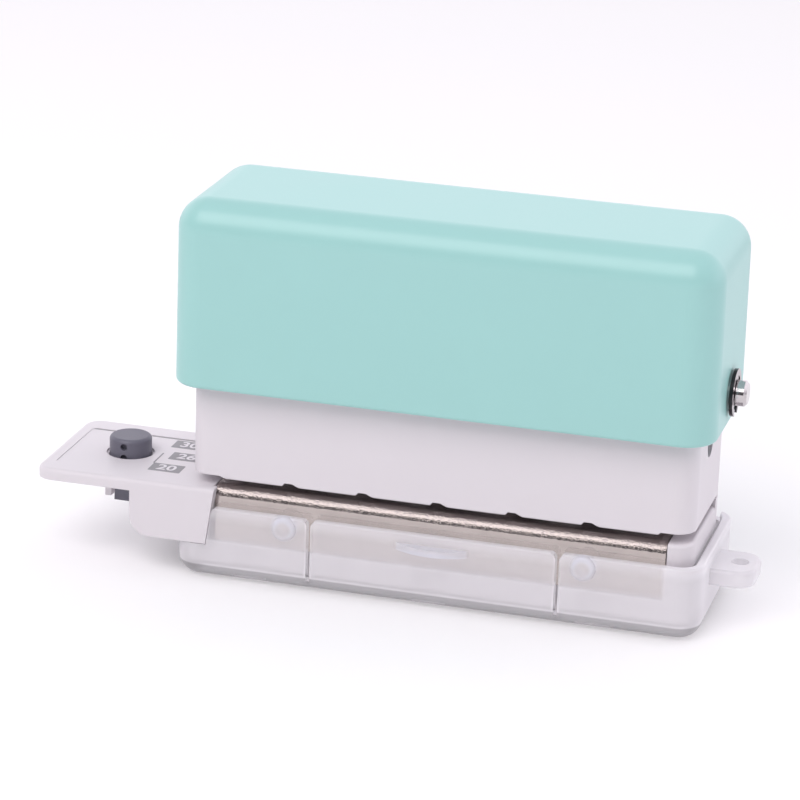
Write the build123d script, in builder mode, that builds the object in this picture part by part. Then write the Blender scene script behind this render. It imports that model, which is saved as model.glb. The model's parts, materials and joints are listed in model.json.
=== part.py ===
from build123d import *
import os

# Six-hole paper punch for loose-leaf sheets. Lengths are millimetres, angles are degrees.
# X runs along the row of punches, +Y is the rear and Z is up from the table.
# The origin is on the table, under the middle of the row.

# Hole pattern of the sheet
hole_pitch = 9.5
punch_count = 6
punch_diameter = 6.0
paper_edge_distance = 6.5
paper_gap = 1.0

# Heights
deck_height = 12.0
body_height = 26.5
body_reveal = 12.4
cover_height = 23.55
shaft_rise = 3.95
press_travel = 6.85

# Upper body
body_end_reach = 3.4
body_front_reach = 8.5
stop_depth = 3.5
body_wall = 1.9
body_floor = 2.0
body_corner_radius = 2.5
body_edge_radius = 0.3
mark_top_width = 1.0
mark_left_ramp = 0.4
mark_right_ramp = 1.0
mark_depth = 0.5
end_rise = 0.4
floor_hole_clearance = 0.3

# Press cover
cover_wall = 1.8
cover_side_clearance = 0.3
cover_front_gap = 1.1
cover_corner_radius = 4.1
cover_top_radius = 3.9
cover_rim_radius = 0.5
cover_draft_angle = 0.3
cover_rib_thickness = 1.6
cover_rib_steps = (-2, 0, 2)
guide_rib_thickness = 1.2
guide_rib_inset = 1.2

# Press shaft and its retaining clips
shaft_diameter = 3.2
shaft_end_reach = 2.1
shaft_chamfer = 0.35
shaft_hole_clearance = 0.03
slot_clearance = 0.1
clip_diameter = 5.9
clip_inner_diameter = 4.2
clip_thickness = 0.45
clip_gap = 0.25
clip_mouth = 1.7
clip_lobe_width = 1.0
clip_lobe_count = 3
groove_diameter = 2.3
groove_clearance = 0.04

# Punch pins, their guide and their springs
pin_head_diameter = 8.0
pin_head_below = 2.65
pin_head_above = 3.35
pin_tip_recess = 0.4
pin_tip_stagger = 0.6
pin_tip_hollow_radius = 4.2
pin_tip_hollow_depth = 1.1
punch_clearance = 0.05
guide_thickness = 1.5
guide_clearance = 0.1
spring_wire = 0.5
spring_turns = 5
spring_clearance = 0.4
spring_seat_clearance = 0.04

# Press bar over the heads of the pins
bar_thickness = 1.2
bar_side_clearance = 0.3
bar_flange_drop = 5.0
bar_end_clearance = 0.6

# Die plate
die_thickness = 1.2
die_bend_radius = 1.5
die_flange_height = 7.1
die_right_reach = 0.3
die_end_clearance = 0.15
die_stop_clearance = 0.1

# Base frame
frame_depth = 3.1
frame_edge_radius = 0.5
frame_end_wall = 0.7
window_half_depth = 5.0
gusset_length = 3.2
gusset_reach = 1.4

# Guide plate, the block under it and the index peg
plate_reach = 20.1
plate_thickness = 1.5
plate_corner_radius = 2.2
plate_edge_radius = 0.6
field_depth = 0.1
field_left_rim = 1.7
field_front_rim = 2.8
field_rear_rim = 3.4
field_corner_radius = 0.8
block_reach = 7.4
block_height = 7.3
block_wall = 2.0
block_corner_radius = 2.6
block_lip_reach = 0.45
block_lip_clearance = 0.1
block_slant = 1.05
peg_diameter = 5.4
peg_height = 2.2
peg_neck_drop = 3.0
peg_stem_width = 3.2
peg_stem_drop = 6.3
peg_edge_radius = 0.5
peg_clearance = 0.08
peg_ring_width = 0.3
peg_ring_depth = 0.4
peg_steps_from_row = 2
peg_dimple_diameter = 0.9
peg_dimple_depth = 0.7
peg_dimple_heights = (1.3, -0.15)
peg_tube_wall = 1.0
peg_tube_drop = 1.6
latch_width = 0.8
latch_thickness = 0.8
latch_drop = 3.0
latch_offset = 0.8
latch_gap = 0.4
latch_hook = 0.5

# Chip tray
tray_rim_drop = 2.45
tray_wall = 1.1
tray_floor = 1.2
tray_clearance = 0.45
tray_corner_radius = 3.0
tray_bottom_radius = 2.5
tray_block_gap = 0.1
tray_swing_gap = 0.3
tray_rim_radius = 0.3
tray_end_radius = 0.6
slit_width = 0.5
slit_height_above_table = 1.5
slit_flare_radius = 0.9
tongue_half_length = 15.8
lip_length = 9.4
lip_reach = 1.5
lip_thickness = 0.9
lip_drop = 1.2
snap_diameter = 3.2
snap_rise = 0.5
snap_edge_radius = 0.45
snap_drop = 1.45
snap_offset = 3.2
tab_width = 4.4
tab_depth = 1.0
tab_height = 3.4
tab_place_shares = (-0.70, -0.01, 0.61)

# Hanging lug of the tray
lug_width = 7.7
lug_reach = 5.4
lug_thickness = 2.2
lug_drop = 1.85
lug_hole_diameter = 2.2
lug_hole_inset = 2.3
lug_corner_radius = 2.4
lug_edge_radius = 0.5

# Tray hinge
hinge_offset = 0.9
hinge_drop = 2.35
knuckle_radius = 1.4
knuckle_length = 6.0
knuckle_gap = 0.3
knuckle_place_share = 0.44
middle_knuckle_length = 10.0
hinge_pin_diameter = 1.5
hinge_pin_end = 0.8
hinge_running_clearance = 0.05
hinge_press_clearance = 0.02
web_depth = 2.3
web_rise = 0.4

# Fasteners
screw_diameter = 2.0
screw_clearance = 0.15
screw_pilot_clearance = 0.02
screw_head_diameter = 3.2
screw_head_height = 1.2
screw_head_clearance = 0.1
screw_stop_inset = 1.5
screw_socket_diameter = 1.4
screw_socket_depth = 0.7
body_screw_length = 10.6
body_screw_place_shares = (-0.815, -0.274, 0.274, 0.815)
body_boss_wall = 1.0
body_boss_margin = 1.0
guide_screw_length = 2.6
guide_screw_end_inset = 2.1
guide_screw_half_depth = 4.4
rivet_diameter = 1.8
rivet_head_diameter = 3.0
rivet_head_height = 0.5
rivet_tail_height = 0.4
rivet_clearance = 0.03
rivet_end_inset = 1.8
rivet_half_depth = 4.6

# How far a cut runs past the face that it opens
cut_overrun = 1.0

# Places that follow from the sizes above
punch_places = [hole_pitch * (index - (punch_count - 1) / 2) for index in range(punch_count)]
mark_places = [hole_pitch * (index - punch_count / 2) for index in range(punch_count + 1)]
die_half_length = hole_pitch * punch_count / 2
body_half_length = die_half_length + body_end_reach
body_rear = paper_edge_distance + stop_depth
body_front = -body_front_reach
body_bottom = deck_height + paper_gap
body_top = body_bottom + body_height
inner_half_length = body_half_length - body_wall
inner_front = body_front + body_wall
inner_rear = body_rear - body_wall
body_floor_top = body_bottom + body_floor
guide_top = body_floor_top + guide_thickness

cover_bottom = body_bottom + body_reveal
cover_top = cover_bottom + cover_height
cover_ceiling = cover_top - cover_wall
cover_inner_half_length = body_half_length + cover_side_clearance
cover_inner_front = body_front - cover_front_gap
cover_inner_rear = body_rear + cover_side_clearance
cover_half_length = cover_inner_half_length + cover_wall
cover_front = cover_inner_front - cover_wall
cover_rear = cover_inner_rear + cover_wall

shaft_height = cover_bottom + shaft_rise
shaft_radius = shaft_diameter / 2
shaft_hole_radius = shaft_radius + shaft_hole_clearance
clip_inner_face = cover_half_length + clip_gap
clip_outer_face = clip_inner_face + clip_thickness
shaft_half_length = cover_half_length + shaft_end_reach
punch_radius = punch_diameter / 2
punch_hole_radius = punch_radius + punch_clearance
head_bottom = shaft_height - pin_head_below
head_top = shaft_height + pin_head_above
bar_top = head_top + bar_thickness
bar_inner_half_depth = pin_head_diameter / 2 + bar_side_clearance
bar_half_depth = bar_inner_half_depth + bar_thickness
bar_half_length = inner_half_length - bar_end_clearance

die_rear = paper_edge_distance - die_stop_clearance
die_underside = deck_height - die_thickness
die_flange_back = body_front + die_thickness
flange_bottom = deck_height - die_flange_height
die_bay_half_length = die_half_length + die_end_clearance
frame_bottom = deck_height - frame_depth
window_half_length = die_bay_half_length - frame_end_wall

tray_height = deck_height - tray_rim_drop
tray_inner_half_length = body_half_length + tray_clearance
tray_half_length = tray_inner_half_length + tray_wall
tray_inner_front = body_front - tray_clearance
tray_front = tray_inner_front - tray_wall
hinge_y = body_rear + hinge_offset
hinge_height = tray_height - hinge_drop
tray_rear = hinge_y + knuckle_radius
tray_inner_rear = tray_rear - tray_wall
knuckle_inner_place = knuckle_place_share * body_half_length
knuckle_outer_place = knuckle_inner_place + knuckle_length
outer_knuckle_start = knuckle_outer_place + knuckle_gap
hinge_pin_half_length = outer_knuckle_start + knuckle_length + hinge_pin_end
hinge_top = hinge_height + knuckle_radius

plate_left = -body_half_length - plate_reach
plate_bottom = deck_height - plate_thickness
block_left = -body_half_length - block_reach
block_right = -die_bay_half_length
block_bottom = deck_height - block_height
block_lip_edge = block_right + block_lip_reach
lip_back = body_front - block_lip_clearance
peg_place = punch_places[0] - hole_pitch * peg_steps_from_row
peg_radius = peg_diameter / 2
peg_hole_radius = peg_radius + peg_clearance
screw_row = paper_edge_distance + screw_stop_inset
body_screw_places = [share * body_half_length for share in body_screw_place_shares]

BOTH_SIDES = (-1, 1)
FROM_FOOT = (Align.CENTER, Align.MIN)
POINTS_PER_TURN = 24


def box_between(x_span, y_span, z_span, mode=Mode.ADD):
    """Add or cut a box that runs between two places along each axis."""
    spans = (x_span, y_span, z_span)
    middle = tuple(sum(span) / 2 for span in spans)
    with Locations(middle):
        Box(*(max(span) - min(span) for span in spans), mode=mode)


def rounded_between(x_span, y_span, z_span, radius, mode=Mode.ADD):
    """Add or cut an upright block whose corners are round in plan."""
    with BuildSketch(Plane.XY.offset(min(z_span))) as plan:
        with Locations((sum(x_span) / 2, sum(y_span) / 2)):
            RectangleRounded(max(x_span) - min(x_span), max(y_span) - min(y_span), radius)
    extrude(plan.sketch, amount=max(z_span) - min(z_span), mode=mode)


def rod_along_x(x_span, y, z, radius, mode=Mode.ADD):
    """Add or cut a round rod that lies along X."""
    with BuildSketch(Plane.YZ.offset(min(x_span))) as section:
        with Locations((y, z)):
            Circle(radius)
    extrude(section.sketch, amount=max(x_span) - min(x_span), mode=mode)


def rod_upright(x, y, z_span, radius, mode=Mode.ADD):
    """Add or cut a round rod that stands along Z."""
    with BuildSketch(Plane.XY.offset(min(z_span))) as section:
        with Locations((x, y)):
            Circle(radius)
    extrude(section.sketch, amount=max(z_span) - min(z_span), mode=mode)


def screw_up(x, y, head_seat, length):
    """Add a screw whose head hangs under its seat and whose shank points up."""
    head_end = head_seat - screw_head_height
    rod_upright(x, y, (head_seat, head_seat + length), screw_diameter / 2)
    rod_upright(x, y, (head_end, head_seat), screw_head_diameter / 2)
    rod_upright(x, y, (head_end, head_end + screw_socket_depth), screw_socket_diameter / 2, Mode.SUBTRACT)


def screw_down(x, y, head_seat, length):
    """Add a screw whose head stands on its seat and whose shank points down."""
    head_end = head_seat + screw_head_height
    rod_upright(x, y, (head_seat - length, head_seat), screw_diameter / 2)
    rod_upright(x, y, (head_seat, head_end), screw_head_diameter / 2)
    rod_upright(x, y, (head_end - screw_socket_depth, head_end), screw_socket_diameter / 2, Mode.SUBTRACT)


def least_turn_gap(coil, turns, wire):
    """The least gap of a coil to itself, on points that lie half a turn or more apart."""
    steps = turns * POINTS_PER_TURN
    points = [coil @ (step / steps) for step in range(steps + 1)]
    half_turn = POINTS_PER_TURN // 2
    return min(
        (second - first).length - wire
        for index, first in enumerate(points)
        for second in points[index + half_turn:]
    )


os.makedirs("parts", exist_ok=True)

guide_screw_places = [
    (side * (inner_half_length - guide_screw_end_inset), depth * guide_screw_half_depth)
    for side in BOTH_SIDES
    for depth in BOTH_SIDES
]
rivet_places = [
    (side * (die_half_length - rivet_end_inset), depth * rivet_half_depth)
    for side in BOTH_SIDES
    for depth in BOTH_SIDES
]

# Base frame: a ring under the die plate, the paper stop, the guide plate and the block at the left
with BuildPart() as base_frame:
    box_between((plate_left, block_lip_edge), (tray_front, body_rear), (plate_bottom, deck_height))
    fillet(base_frame.edges().filter_by(Axis.Z).group_by(Axis.X)[0], plate_corner_radius)
    fillet(base_frame.faces().sort_by(Axis.Z)[-1].edges().sort_by(Axis.X)[:-1], plate_edge_radius)
    box_between((block_left, block_right), (tray_front, inner_rear), (block_bottom, plate_bottom))
    block_edges = base_frame.edges().filter_by(Axis.Y).group_by(Axis.Z)[0]
    fillet(block_edges.sort_by(Axis.X)[0], block_corner_radius)
    box_between((block_right, block_lip_edge), (tray_front, lip_back), (block_bottom, plate_bottom))
    # The ring and the paper stop share the outline of the upper body, which stands on the stop
    rounded_between(
        (-body_half_length, body_half_length),
        (body_front, body_rear),
        (frame_bottom, body_bottom),
        body_corner_radius,
    )
    box_between(
        (-body_half_length - cut_overrun, body_half_length + cut_overrun),
        (body_front - cut_overrun, paper_edge_distance),
        (deck_height, body_bottom + cut_overrun),
        Mode.SUBTRACT,
    )
    right_edges = base_frame.edges().filter_by_position(Axis.X, 0, body_half_length + cut_overrun)
    cheek_edges = right_edges.filter_by_position(Axis.Y, body_front - cut_overrun, paper_edge_distance / 2)
    fillet(cheek_edges.group_by(Axis.Z)[-1], frame_edge_radius)
    box_between(
        (block_left + block_wall, block_right - block_wall),
        (tray_front + block_wall, inner_rear - block_wall),
        (block_bottom - cut_overrun, plate_bottom),
        Mode.SUBTRACT,
    )
    # The block's front lip covers the end of the die plate and leans back towards its foot
    with BuildSketch(Plane.XZ.offset(-lip_back)):
        with BuildLine():
            Polyline(
                (block_lip_edge, deck_height),
                (block_lip_edge - block_slant, block_bottom),
                (block_lip_edge + cut_overrun, block_bottom),
                close=True,
            )
        make_face()
    extrude(amount=lip_back - tray_front + cut_overrun, mode=Mode.SUBTRACT)
    # Bay for the die plate and its flange, and the window that the chips fall through
    die_bay = (-die_bay_half_length, die_bay_half_length + die_right_reach)
    box_between(
        die_bay,
        (lip_back, paper_edge_distance),
        (die_underside, deck_height + paper_gap / 2),
        Mode.SUBTRACT,
    )
    box_between(
        die_bay,
        (lip_back, die_flange_back),
        (frame_bottom - cut_overrun, deck_height),
        Mode.SUBTRACT,
    )
    box_between(
        (-window_half_length, window_half_length),
        (-window_half_depth + gusset_reach, window_half_depth - gusset_reach),
        (frame_bottom - cut_overrun, deck_height),
        Mode.SUBTRACT,
    )
    box_between(
        (-window_half_length + gusset_length, window_half_length - gusset_length),
        (-window_half_depth, window_half_depth),
        (frame_bottom - cut_overrun, deck_height),
        Mode.SUBTRACT,
    )
    # Recessed field of the guide plate
    rounded_between(
        (plate_left + field_left_rim, -body_half_length),
        (tray_front + field_front_rim, body_rear - field_rear_rim),
        (deck_height - field_depth, deck_height + paper_gap / 2),
        field_corner_radius,
        Mode.SUBTRACT,
    )
    # Tube that guides the index peg, and the latch finger beside it
    rod_upright(peg_place, 0, (plate_bottom - peg_tube_drop, plate_bottom), peg_hole_radius + peg_tube_wall)
    rod_upright(
        peg_place, 0, (plate_bottom - peg_tube_drop - cut_overrun, deck_height + cut_overrun),
        peg_hole_radius, Mode.SUBTRACT,
    )
    rod_upright(
        peg_place, 0, (deck_height - peg_ring_depth, deck_height + cut_overrun),
        peg_hole_radius + peg_ring_width, Mode.SUBTRACT,
    )
    latch_back = -(peg_hole_radius + peg_tube_wall + latch_gap)
    latch_right = peg_place - latch_offset
    latch_left = latch_right - latch_width
    latch_end = plate_bottom - latch_drop
    latch_span = (latch_left, latch_right)
    box_between(latch_span, (latch_back - latch_thickness, latch_back), (latch_end, plate_bottom))
    box_between(latch_span, (latch_back, latch_back + latch_hook), (latch_end, latch_end + latch_hook))
    # Hinge knuckles at the rear
    press_radius = hinge_pin_diameter / 2 + hinge_press_clearance
    for side in BOTH_SIDES:
        knuckle = (side * knuckle_inner_place, side * knuckle_outer_place)
        box_between(knuckle, (hinge_y - web_depth, hinge_y), (hinge_height, frame_bottom + web_rise))
        rod_along_x(knuckle, hinge_y, hinge_height, knuckle_radius)
        bore = (side * (knuckle_inner_place - cut_overrun), side * (knuckle_outer_place + cut_overrun))
        rod_along_x(bore, hinge_y, hinge_height, press_radius, Mode.SUBTRACT)
    # Holes for the body screws and the die rivets
    for place in body_screw_places:
        rod_upright(
            place, screw_row, (frame_bottom - cut_overrun, body_bottom + cut_overrun),
            screw_diameter / 2 + screw_clearance, Mode.SUBTRACT,
        )
        rod_upright(
            place, screw_row, (frame_bottom - cut_overrun, frame_bottom + screw_head_height),
            screw_head_diameter / 2 + screw_head_clearance, Mode.SUBTRACT,
        )
    for x, y in rivet_places:
        rod_upright(
            x, y, (frame_bottom - cut_overrun, deck_height),
            rivet_diameter / 2 + rivet_clearance, Mode.SUBTRACT,
        )
base_frame.part.label = "base_frame"
export_step(base_frame.part, "parts/base_frame.step")

# Die plate: bent steel strip with the six die holes
with BuildPart() as die_plate:
    die_span = (-die_half_length, die_half_length + die_right_reach)
    box_between(die_span, (body_front, die_rear), (die_underside, deck_height))
    box_between(die_span, (body_front, die_flange_back), (flange_bottom, deck_height))
    rolled_edge = die_plate.edges().filter_by(Axis.X).group_by(Axis.Z)[-1].sort_by(Axis.Y)[0]
    fillet(rolled_edge, die_bend_radius)
    for place in punch_places:
        rod_upright(place, 0, (flange_bottom, deck_height + cut_overrun), punch_hole_radius, Mode.SUBTRACT)
    for x, y in rivet_places:
        rod_upright(
            x, y, (die_underside - cut_overrun, deck_height + cut_overrun),
            rivet_diameter / 2 + rivet_clearance, Mode.SUBTRACT,
        )
        rod_upright(
            x, y, (deck_height - rivet_head_height, deck_height + cut_overrun),
            rivet_head_diameter / 2 + rivet_clearance, Mode.SUBTRACT,
        )
die_plate.part.label = "die_plate"
export_step(die_plate.part, "parts/die_plate.step")

# Rivets that hold the die plate, flush on top and headed under the frame
with BuildPart() as die_rivets:
    for x, y in rivet_places:
        rod_upright(x, y, (frame_bottom, deck_height), rivet_diameter / 2)
        rod_upright(x, y, (deck_height - rivet_head_height, deck_height), rivet_head_diameter / 2)
        rod_upright(x, y, (frame_bottom - rivet_tail_height, frame_bottom), rivet_head_diameter / 2)
die_rivets.part.label = "die_rivets"
export_step(die_rivets.part, "parts/die_rivets.step")

# Upper body: white housing, open at the top, with a slot in each end wall for the press shaft
with BuildPart() as upper_body:
    rounded_between(
        (-body_half_length, body_half_length), (body_front, body_rear), (body_bottom, body_top),
        body_corner_radius,
    )
    fillet(upper_body.faces().sort_by(Axis.Z)[0].edges(), body_edge_radius)
    rounded_between(
        (-inner_half_length, inner_half_length),
        (inner_front, inner_rear),
        (body_floor_top, body_top + cut_overrun),
        body_corner_radius - body_wall,
        Mode.SUBTRACT,
    )
    # Bosses along the rear wall for the body screws
    for place in body_screw_places:
        rod_upright(
            place, screw_row,
            (body_floor_top, body_bottom + body_screw_length),
            screw_diameter / 2 + body_boss_wall,
        )
    rounded_between(
        (-body_half_length, body_half_length), (body_front, body_rear), (body_bottom, body_top),
        body_corner_radius, Mode.INTERSECT,
    )
    for place in body_screw_places:
        rod_upright(
            place, screw_row,
            (body_bottom - cut_overrun, body_bottom + body_screw_length - body_boss_margin),
            screw_diameter / 2 + screw_pilot_clearance, Mode.SUBTRACT,
        )
    # Clearance holes for the punches and pilot holes for the guide screws
    for place in punch_places:
        rod_upright(
            place, 0, (body_bottom - cut_overrun, body_floor_top + cut_overrun),
            punch_radius + floor_hole_clearance, Mode.SUBTRACT,
        )
    for x, y in guide_screw_places:
        rod_upright(
            x, y, (guide_top - guide_screw_length, body_floor_top + cut_overrun),
            screw_diameter / 2 + screw_pilot_clearance, Mode.SUBTRACT,
        )
    # Upright slots for the press shaft
    with BuildSketch(Plane.YZ.offset(-body_half_length - cut_overrun)):
        with Locations((0, shaft_height - press_travel / 2)):
            SlotCenterToCenter(press_travel, shaft_diameter + 2 * slot_clearance, rotation=90)
    extrude(amount=2 * (body_half_length + cut_overrun), mode=Mode.SUBTRACT)
    # Marks between the punches along the lower front edge
    mark_top = body_bottom + mark_depth
    with BuildSketch(Plane.XZ.offset(-inner_front)):
        for place in mark_places[1:-1]:
            with BuildLine():
                Polyline(
                    (place - mark_top_width / 2 - mark_left_ramp, body_bottom),
                    (place - mark_top_width / 2, mark_top),
                    (place + mark_top_width / 2, mark_top),
                    (place + mark_top_width / 2 + mark_right_ramp, body_bottom),
                    close=True,
                )
            make_face()
    extrude(amount=body_wall + cut_overrun, mode=Mode.SUBTRACT)
    # Beyond the outer marks the lower edge stays raised, back to the paper stop
    left_mark = mark_places[0] + mark_top_width / 2
    right_mark = mark_places[-1] - mark_top_width / 2
    far_end = body_half_length + cut_overrun
    end_top = body_bottom + end_rise
    with BuildSketch(Plane.XZ.offset(-paper_edge_distance)):
        with BuildLine():
            Polyline(
                (-far_end, body_bottom),
                (-far_end, end_top),
                (left_mark, end_top),
                (left_mark + mark_right_ramp, body_bottom),
                close=True,
            )
        make_face()
        with BuildLine():
            Polyline(
                (far_end, body_bottom),
                (far_end, end_top),
                (right_mark, end_top),
                (right_mark - mark_left_ramp, body_bottom),
                close=True,
            )
        make_face()
    extrude(amount=paper_edge_distance - body_front + cut_overrun, mode=Mode.SUBTRACT)
upper_body.part.label = "upper_body"
export_step(upper_body.part, "parts/upper_body.step")

# Screws that hold the upper body down on the base frame
with BuildPart() as body_screws:
    for place in body_screw_places:
        screw_up(place, screw_row, frame_bottom + screw_head_height, body_screw_length)
body_screws.part.label = "body_screws"
export_step(body_screws.part, "parts/body_screws.step")

# Punch guide: steel plate on the floor of the upper body
with BuildPart() as punch_guide:
    rounded_between(
        (-inner_half_length + guide_clearance, inner_half_length - guide_clearance),
        (inner_front + guide_clearance, screw_row - screw_diameter / 2 - body_boss_wall - guide_clearance),
        (body_floor_top, guide_top),
        body_corner_radius - body_wall,
    )
    for place in punch_places:
        rod_upright(
            place, 0, (body_floor_top - cut_overrun, guide_top + cut_overrun),
            punch_hole_radius, Mode.SUBTRACT,
        )
    for x, y in guide_screw_places:
        rod_upright(
            x, y, (body_floor_top - cut_overrun, guide_top + cut_overrun),
            screw_diameter / 2 + screw_clearance, Mode.SUBTRACT,
        )
punch_guide.part.label = "punch_guide"
export_step(punch_guide.part, "parts/punch_guide.step")

# Screws that hold the punch guide
with BuildPart() as guide_screws:
    for x, y in guide_screw_places:
        screw_down(x, y, guide_top, guide_screw_length)
guide_screws.part.label = "guide_screws"
export_step(guide_screws.part, "parts/guide_screws.step")

# Punch pins: the outer pair cuts first and the middle pair last
for index, place in enumerate(punch_places):
    steps_from_end = min(index, punch_count - 1 - index)
    tip = body_bottom + pin_tip_recess + pin_tip_stagger * steps_from_end
    with BuildPart() as punch_pin:
        rod_upright(place, 0, (tip, head_top), punch_radius)
        rod_upright(place, 0, (head_bottom, head_top), pin_head_diameter / 2)
        across = (place - pin_head_diameter, place + pin_head_diameter)
        hollow_middle = tip + pin_tip_hollow_depth - pin_tip_hollow_radius
        rod_along_x(across, 0, shaft_height, shaft_hole_radius, Mode.SUBTRACT)
        rod_along_x(across, 0, hollow_middle, pin_tip_hollow_radius, Mode.SUBTRACT)
    punch_pin.part.label = f"punch_pin_{index + 1}"
    export_step(punch_pin.part, f"parts/punch_pin_{index + 1}.step")

# Return springs, one round each pin between the guide and the pin's head
spring_radius = punch_radius + spring_clearance + spring_wire / 2
spring_foot = guide_top + spring_wire / 2 + spring_seat_clearance
spring_rise = head_bottom - spring_wire / 2 - spring_seat_clearance - spring_foot
for index, place in enumerate(punch_places):
    with BuildPart() as return_spring:
        with BuildLine() as coil:
            Helix(spring_rise / spring_turns, spring_rise, spring_radius, center=(place, 0, spring_foot))
        with BuildSketch(Plane(origin=coil.line @ 0, z_dir=coil.line % 0)):
            Circle(spring_wire / 2)
        sweep(path=coil.line, is_frenet=True)
    return_spring.part.label = f"return_spring_{index + 1}"
    export_step(return_spring.part, f"parts/return_spring_{index + 1}.step")
    turn_gap = least_turn_gap(coil.line, spring_turns, spring_wire)
    print(f"return_spring_{index + 1}: least gap between turns {turn_gap:.2f} mm")

# Press bar: channel over the heads of the pins
with BuildPart() as press_bar:
    box_between(
        (-bar_half_length, bar_half_length),
        (-bar_half_depth, bar_half_depth),
        (head_top - bar_flange_drop, bar_top),
    )
    box_between(
        (-bar_half_length - cut_overrun, bar_half_length + cut_overrun),
        (-bar_inner_half_depth, bar_inner_half_depth),
        (head_top - bar_flange_drop - cut_overrun, head_top),
        Mode.SUBTRACT,
    )
    fillet(press_bar.edges().filter_by(Axis.X).group_by(Axis.Z)[-1], bar_thickness)
press_bar.part.label = "press_bar"
export_step(press_bar.part, "parts/press_bar.step")

# Press shaft, grooved at both ends for its clips
with BuildPart() as press_shaft:
    rod_along_x((-shaft_half_length, shaft_half_length), 0, shaft_height, shaft_radius)
    chamfer(press_shaft.edges().filter_by(GeomType.CIRCLE), shaft_chamfer)
    for side in BOTH_SIDES:
        groove = (side * (clip_inner_face - groove_clearance), side * (clip_outer_face + groove_clearance))
        with BuildSketch(Plane.YZ.offset(min(groove))):
            with Locations((0, shaft_height)):
                Circle(shaft_radius + cut_overrun)
                Circle(groove_diameter / 2, mode=Mode.SUBTRACT)
        extrude(amount=max(groove) - min(groove), mode=Mode.SUBTRACT)
press_shaft.part.label = "press_shaft"
export_step(press_shaft.part, "parts/press_shaft.step")

# Retaining clips: a ring with a mouth and three lobes that sit in the shaft's groove
for side, name in zip(BOTH_SIDES, ("shaft_clip_left", "shaft_clip_right")):
    clip_faces = (side * clip_inner_face, side * clip_outer_face)
    lobe_root = groove_diameter / 2 + groove_clearance
    lobe_length = (clip_inner_diameter + clip_diameter) / 4 - lobe_root
    with BuildPart() as shaft_clip:
        with BuildSketch(Plane.YZ.offset(min(clip_faces))):
            with Locations((0, shaft_height)):
                Circle(clip_diameter / 2)
                Circle(clip_inner_diameter / 2, mode=Mode.SUBTRACT)
                with PolarLocations(lobe_root, clip_lobe_count, start_angle=90):
                    Rectangle(lobe_length, clip_lobe_width, align=(Align.MIN, Align.CENTER))
                with Locations((0, -clip_diameter / 2)):
                    Rectangle(clip_mouth, clip_diameter / 2, mode=Mode.SUBTRACT)
        extrude(amount=max(clip_faces) - min(clip_faces))
    shaft_clip.part.label = name
    export_step(shaft_clip.part, f"parts/{name}.step")

# Press cover: rounded cap that telescopes over the upper body
with BuildPart() as press_cover:
    with BuildSketch(Plane.XY.offset(cover_bottom)):
        with Locations((0, (cover_front + cover_rear) / 2)):
            RectangleRounded(2 * cover_half_length, cover_rear - cover_front, cover_corner_radius)
    extrude(amount=cover_height, taper=cover_draft_angle)
    fillet(press_cover.faces().sort_by(Axis.Z)[-1].edges(), cover_top_radius)
    rounded_between(
        (-cover_inner_half_length, cover_inner_half_length),
        (cover_inner_front, cover_inner_rear),
        (cover_bottom - cut_overrun, cover_ceiling),
        cover_corner_radius - cover_wall,
        Mode.SUBTRACT,
    )
    fillet(press_cover.faces().sort_by(Axis.Z)[0].edges(), cover_rim_radius)
    # Ribs under the ceiling press on the bar, ribs inside the front wall run along the body
    for steps in cover_rib_steps:
        middle = steps * hole_pitch
        box_between(
            (middle - cover_rib_thickness / 2, middle + cover_rib_thickness / 2),
            (-bar_half_depth, bar_half_depth),
            (bar_top, cover_ceiling + cover_wall / 2),
        )
    for middle in (punch_places[1], punch_places[-2]):
        box_between(
            (middle - guide_rib_thickness / 2, middle + guide_rib_thickness / 2),
            (cover_inner_front - cover_wall / 2, body_front - cover_side_clearance),
            (cover_bottom + guide_rib_inset, cover_top - cover_top_radius),
        )
    rod_along_x(
        (-cover_half_length - cut_overrun, cover_half_length + cut_overrun), 0, shaft_height,
        shaft_hole_radius, Mode.SUBTRACT,
    )
press_cover.part.label = "press_cover"
export_step(press_cover.part, "parts/press_cover.step")

# Index peg: drops into a hole that is already punched, and pushes down flush with the plate
with BuildPart() as index_peg:
    box_between(
        (peg_place - peg_stem_width / 2, peg_place + peg_stem_width / 2),
        (-peg_stem_width / 2, peg_stem_width / 2),
        (deck_height - peg_stem_drop, deck_height),
    )
    rod_upright(peg_place, 0, (deck_height - peg_neck_drop, deck_height + peg_height), peg_radius)
    fillet(index_peg.faces().sort_by(Axis.Z)[-1].edges(), peg_edge_radius)
    with BuildSketch(Plane.XZ.offset(peg_radius - peg_dimple_depth)):
        with Locations(*((peg_place, deck_height + height) for height in peg_dimple_heights)):
            Circle(peg_dimple_diameter / 2)
    extrude(amount=peg_dimple_depth + cut_overrun, mode=Mode.SUBTRACT)
index_peg.part.label = "index_peg"
export_step(index_peg.part, "parts/index_peg.step")

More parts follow.
